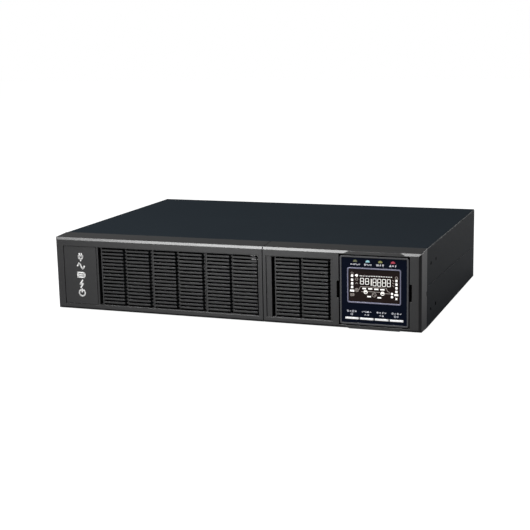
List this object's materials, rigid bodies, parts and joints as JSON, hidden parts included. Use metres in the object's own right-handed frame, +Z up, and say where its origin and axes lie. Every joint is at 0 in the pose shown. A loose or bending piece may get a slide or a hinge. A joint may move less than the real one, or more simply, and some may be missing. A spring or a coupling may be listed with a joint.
{
  "type": "uninterruptible power supply",
  "caption": "Flat rack or tower power backup unit with a slatted two-part front, a square pull-out display with bar buttons, and a sliding battery tray.",
  "frame": {"origin": "centre of the whole box, at its underside", "axes": "+X to the right seen from the front, +Y towards the rear connectors, +Z up; the front faces -Y"},
  "size_m": [0.438, 0.315, 0.088],
  "materials": {
    "case_paint": "fine textured powder coat",
    "zinc_steel": "zinc plated sheet",
    "bezel_plastic": "moulded, fine spark texture",
    "ribbon_cable": "grey ribbon insulation",
    "connector_plastic": "moulded nylon",
    "insulation_film": "fish paper film",
    "brass_posts": "turned",
    "circuit_board": "solder mask over glass laminate",
    "raw_aluminium": "extruded",
    "black_epoxy": "moulded epoxy",
    "capacitor_sleeve": "shrink sleeve",
    "copper_winding": "enamelled copper wire",
    "transformer_tape": "polyester tape",
    "relay_plastic": "moulded case",
    "fuse_ceramic": "white ceramic tube",
    "fan_plastic": "glass filled nylon",
    "guard_wire": "nickel plated wire",
    "socket_plastic": "moulded thermoplastic",
    "port_metal": "tin plated",
    "terminal_green": "moulded nylon",
    "screw_steel": "zinc plated screws",
    "handle_plastic": "moulded nylon",
    "battery_case": "moulded case",
    "lead_rubber": "silicone insulation",
    "housing_plastic": "light grey moulding",
    "face_plastic": "navy overlay",
    "window_metal": "silver paint",
    "lcd_glass": "dark reverse display",
    "led_lens": "diffused lens",
    "breaker_cap": "moulded cap",
    "button_white": "white moulded key"
  },
  "bodies": {
    "root": {"bottom_chassis": "case_paint", "top_cover": "case_paint", "front_frame": "case_paint", "rear_panel": "case_paint", "battery_bay_wall": "zinc_steel", "front_bezel": "bezel_plastic", "front_bezel_grille": "bezel_plastic", "display_ribbon": "ribbon_cable", "power_socket": "connector_plastic", "insulation_sheet": "insulation_film", "board_standoffs": "brass_posts", "main_board": "circuit_board", "heatsinks": "raw_aluminium", "power_transistors": "black_epoxy", "bus_capacitors": "capacitor_sleeve", "filter_inductors": "copper_winding", "power_transformer": "transformer_tape", "relays": "relay_plastic", "fuses": "fuse_ceramic", "control_board": "circuit_board", "fan_frame": "fan_plastic", "fan_guard": "guard_wire", "outlet_bank_left": "socket_plastic", "outlet_bank_right": "socket_plastic", "mains_inlet": "socket_plastic", "breaker_body": "socket_plastic", "slot_cover": "zinc_steel", "usb_port": "port_metal", "serial_port": "port_metal", "epo_terminal": "terminal_green", "data_line_ports": "socket_plastic", "ground_screw": "brass_posts", "rear_screws": "screw_steel"},
    "battery_cover": {"battery_cover": "bezel_plastic", "battery_cover_grille": "bezel_plastic", "label_plate": "bezel_plastic"},
    "battery_tray": {"battery_tray": "zinc_steel", "tray_front_plate": "case_paint", "tray_handle": "handle_plastic", "tray_screws": "screw_steel", "battery_left": "battery_case", "battery_right": "battery_case", "battery_terminals": "port_metal", "battery_leads": "lead_rubber", "battery_retainer": "zinc_steel", "battery_plug": "connector_plastic"},
    "display_module": {"display_housing": "housing_plastic", "display_face": "face_plastic", "window_frame": "window_metal", "lcd_panel": "lcd_glass", "led_lenses": "led_lens", "display_board": "circuit_board", "button_switches": "black_epoxy"},
    "fan_rotor": {"fan_rotor": "fan_plastic"},
    "breaker_button": {"breaker_button": "breaker_cap"},
    "button_1": {"button_1": "button_white"},
    "button_2": {"button_2": "button_white"},
    "button_3": {"button_3": "button_white"},
    "button_4": {"button_4": "button_white"}
  },
  "joints": [
    {"name": "tray_slide", "type": "slide", "parent": "root", "child": "battery_tray", "axis": [0, -1, 0], "range_m": [0, 0.165]},
    {"name": "cover_pull_off", "type": "slide", "parent": "root", "child": "battery_cover", "axis": [0, -1, 0], "range_m": [0, 0.2145]},
    {"name": "display_pull_out", "type": "slide", "parent": "root", "child": "display_module", "axis": [0, -1, 0], "range_m": [0, 0.02]},
    {"name": "fan_spin", "type": "hinge", "parent": "root", "child": "fan_rotor", "pos_m": [-0.16, 0.1388, 0.044], "axis": [0, 1, 0], "continuous": true},
    {"name": "breaker_reset", "type": "slide", "parent": "root", "child": "breaker_button", "axis": [0, -1, 0], "range_m": [0, 0.002], "stiffness_N_per_m": 800, "springref_m": -0.0005},
    {"name": "button_1_press", "type": "slide", "parent": "display_module", "child": "button_1", "axis": [0, 1, 0], "range_m": [0, 0.001], "stiffness_N_per_m": 600, "springref_m": -0.0005},
    {"name": "button_2_press", "type": "slide", "parent": "display_module", "child": "button_2", "axis": [0, 1, 0], "range_m": [0, 0.001], "stiffness_N_per_m": 600, "springref_m": -0.0005},
    {"name": "button_3_press", "type": "slide", "parent": "display_module", "child": "button_3", "axis": [0, 1, 0], "range_m": [0, 0.001], "stiffness_N_per_m": 600, "springref_m": -0.0005},
    {"name": "button_4_press", "type": "slide", "parent": "display_module", "child": "button_4", "axis": [0, 1, 0], "range_m": [0, 0.001], "stiffness_N_per_m": 600, "springref_m": -0.0005}
  ],
  "couplings": [
    {"joint": "cover_pull_off", "follows": "tray_slide", "ratio": 1.3}
  ]
}
